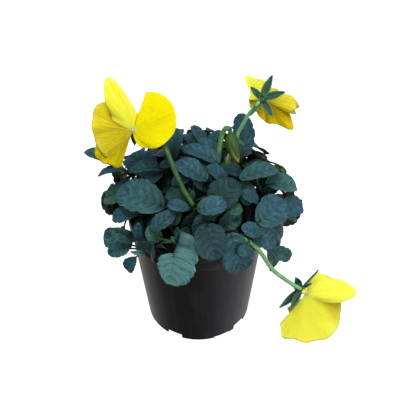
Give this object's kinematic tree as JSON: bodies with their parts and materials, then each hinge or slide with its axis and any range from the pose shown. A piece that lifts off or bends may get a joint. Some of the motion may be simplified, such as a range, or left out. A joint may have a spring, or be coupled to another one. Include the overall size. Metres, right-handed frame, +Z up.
{
  "type": "potted pansy planter",
  "caption": "Round black nursery pot filled with potting mix and a mound of scalloped blue-green leaves, with yellow ruffled blooms on thin stalks above and beside it.",
  "frame": {"origin": "centre of the pot's base, on the ground it stands on", "axes": "+Z up along the pot's axis, -Y towards the side seen in the picture, +X to the right of that view"},
  "size_m": [0.2373, 0.1546, 0.2502],
  "materials": {
    "pot_plastic": "satin black, thin moulded wall",
    "mix": "crumbly, very dark brown",
    "foliage": "blue-green, matt, with paler veins",
    "petal": "velvety lemon yellow, orange-yellow in the folds"
  },
  "bodies": {
    "root": {"pot": "pot_plastic", "potting_mix": "mix", "shoot_front_left": "foliage", "shoot_left": "foliage", "shoot_back_left": "foliage", "shoot_flower_left": "foliage", "shoot_upper_left": "foliage", "shoot_top": "foliage", "shoot_bud": "foliage", "shoot_flower_top": "foliage", "shoot_right": "foliage", "shoot_front_right": "foliage", "shoot_flower_low": "foliage", "shoot_front": "foliage", "shoot_back": "foliage", "shoot_back_right": "foliage", "shoot_back_low_left": "foliage", "corolla_left": "petal", "corolla_top": "petal", "corolla_low": "petal"}
  },
  "joints": []
}
